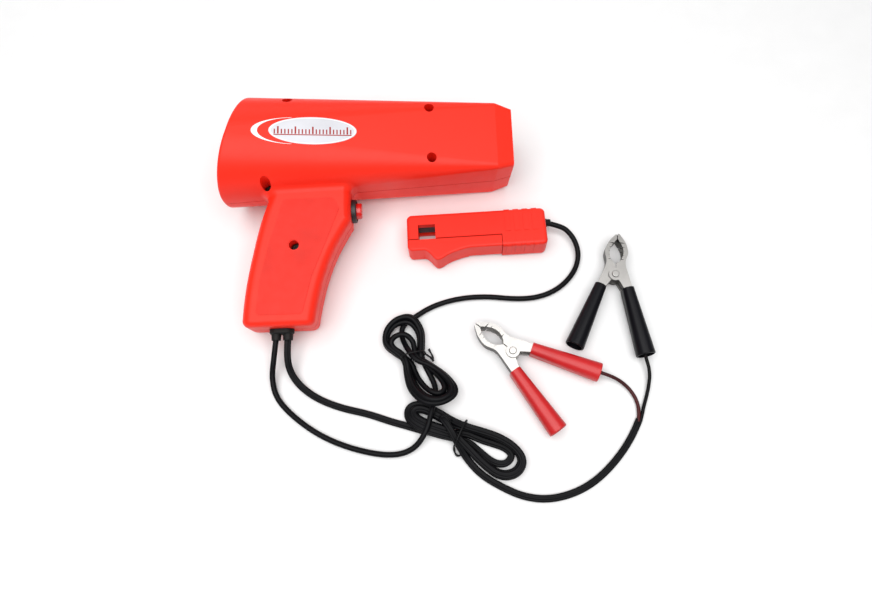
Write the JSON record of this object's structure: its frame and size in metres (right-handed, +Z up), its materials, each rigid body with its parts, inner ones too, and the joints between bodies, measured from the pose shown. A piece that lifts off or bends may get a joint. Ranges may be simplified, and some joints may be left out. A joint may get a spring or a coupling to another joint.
{
  "type": "inductive timing light",
  "caption": "Pistol-shaped strobe timing light with a round-to-square barrel, push-button grip, slide-open inductive pickup and sprung battery clips on hanked cords.",
  "frame": {"origin": "on the table under the middle of the box around the gun and the pickup, which lie as they do in use on a bench", "axes": "+X along the gun's barrel towards the muzzle, +Y away from the grip, +Z up from the table"},
  "size_m": [0.3092, 0.304, 0.0796],
  "materials": {
    "red_shell": "satin moulded ABS, bright red",
    "red_matte": "fine spark-eroded texture, red",
    "clear_lens": "clear polished lens",
    "lamp_glass": "clear quartz tube",
    "mirror_metal": "polished reflector",
    "black_plastic": "black moulded plastic",
    "white_plastic": "natural nylon",
    "board_green": "laminate board",
    "ferrite": "sintered ferrite, dark grey",
    "winding": "enamelled copper winding",
    "can": "sleeved capacitor can",
    "steel": "zinc-plated steel",
    "dark_steel": "oil-blackened steel",
    "nickel": "nickel-plated stamped steel",
    "rubber": "black rubber",
    "cord_black": "black PVC cord",
    "cord_red": "dark red PVC lead",
    "sleeve_red": "red vinyl sleeve",
    "sleeve_black": "black vinyl sleeve",
    "button_red": "red button cap",
    "label_silver": "silver oval label",
    "tie_black": "black twist tie"
  },
  "bodies": {
    "gun": {"right_shell": "red_shell", "left_shell": "red_shell", "rear_cover": "red_shell", "shell_screws": "dark_steel", "lens": "clear_lens", "lens_ring": "black_plastic", "reflector": "mirror_metal", "flash_tube": "lamp_glass", "tube_holder": "white_plastic", "circuit_board": "board_green", "board_posts": "red_matte", "inverter_transformer": "ferrite", "storage_capacitor": "can", "trigger_coil": "winding", "power_transistor": "steel", "board_components": "black_plastic", "switch_body": "black_plastic", "switch_bezel": "black_plastic", "button_spring": "steel", "cable_grommet": "rubber", "cord_clamp": "black_plastic", "clamp_posts": "red_matte", "clamp_screws": "steel", "label_plate": "label_silver", "grip_panel_right": "red_matte", "grip_panel_left": "red_matte", "pickup_housing": "red_shell", "pickup_cover": "red_shell", "pickup_screws": "steel", "pickup_core_c": "ferrite", "pickup_coil": "winding", "pickup_spring": "steel", "pickup_relief": "rubber", "black_clip_jaw_fixed": "nickel", "black_clip_rivet": "nickel", "black_clip_spring": "dark_steel", "black_clip_sleeve_fixed": "sleeve_black", "black_clip_crimp": "nickel", "red_clip_jaw_fixed": "nickel", "red_clip_rivet": "nickel", "red_clip_spring": "dark_steel", "red_clip_sleeve_fixed": "sleeve_red", "red_clip_crimp": "nickel", "pickup_cord_near": "cord_black", "pickup_cord_far": "cord_black", "power_cord_near": "cord_black", "power_cord_far": "cord_black", "black_lead": "cord_black", "red_lead": "cord_red", "pickup_hank": "cord_black", "power_hank": "cord_black", "pickup_hank_tie": "tie_black", "power_hank_tie": "tie_black"},
    "trigger_button": {"button_cap": "button_red"},
    "pickup_jaw": {"pickup_slider": "red_shell", "pickup_core_i": "ferrite"},
    "black_jaw": {"black_clip_jaw_moving": "nickel", "black_clip_sleeve_moving": "sleeve_black"},
    "red_jaw": {"red_clip_jaw_moving": "nickel", "red_clip_sleeve_moving": "sleeve_red"}
  },
  "joints": [
    {"name": "button_press", "type": "slide", "parent": "gun", "child": "trigger_button", "axis": [-0.9985, 0.0125, 0.0542], "range_m": [0, 0.0025], "stiffness_N_per_m": 700, "springref_m": -0.0015, "deforming": ["button_spring"]},
    {"name": "pickup_slide", "type": "slide", "parent": "gun", "child": "pickup_jaw", "axis": [1, 0, 0], "range_m": [0, 0.022], "stiffness_N_per_m": 150, "springref_m": -0.008, "deforming": ["pickup_spring"]},
    {"name": "black_clip_open", "type": "hinge", "parent": "gun", "child": "black_jaw", "pos_m": [0.16839, -0.05772, 0.0072], "axis": [0, 0, 1], "range_deg": [0, 24], "stiffness_Nm_per_rad": 0.6, "springref_deg": -14.32, "deforming": ["black_clip_spring"]},
    {"name": "red_clip_open", "type": "hinge", "parent": "gun", "child": "red_jaw", "pos_m": [0.08609, -0.11162, 0.0072], "axis": [0, 0, 1], "range_deg": [0, 24], "stiffness_Nm_per_rad": 0.6, "springref_deg": -14.32, "deforming": ["red_clip_spring"]}
  ]
}
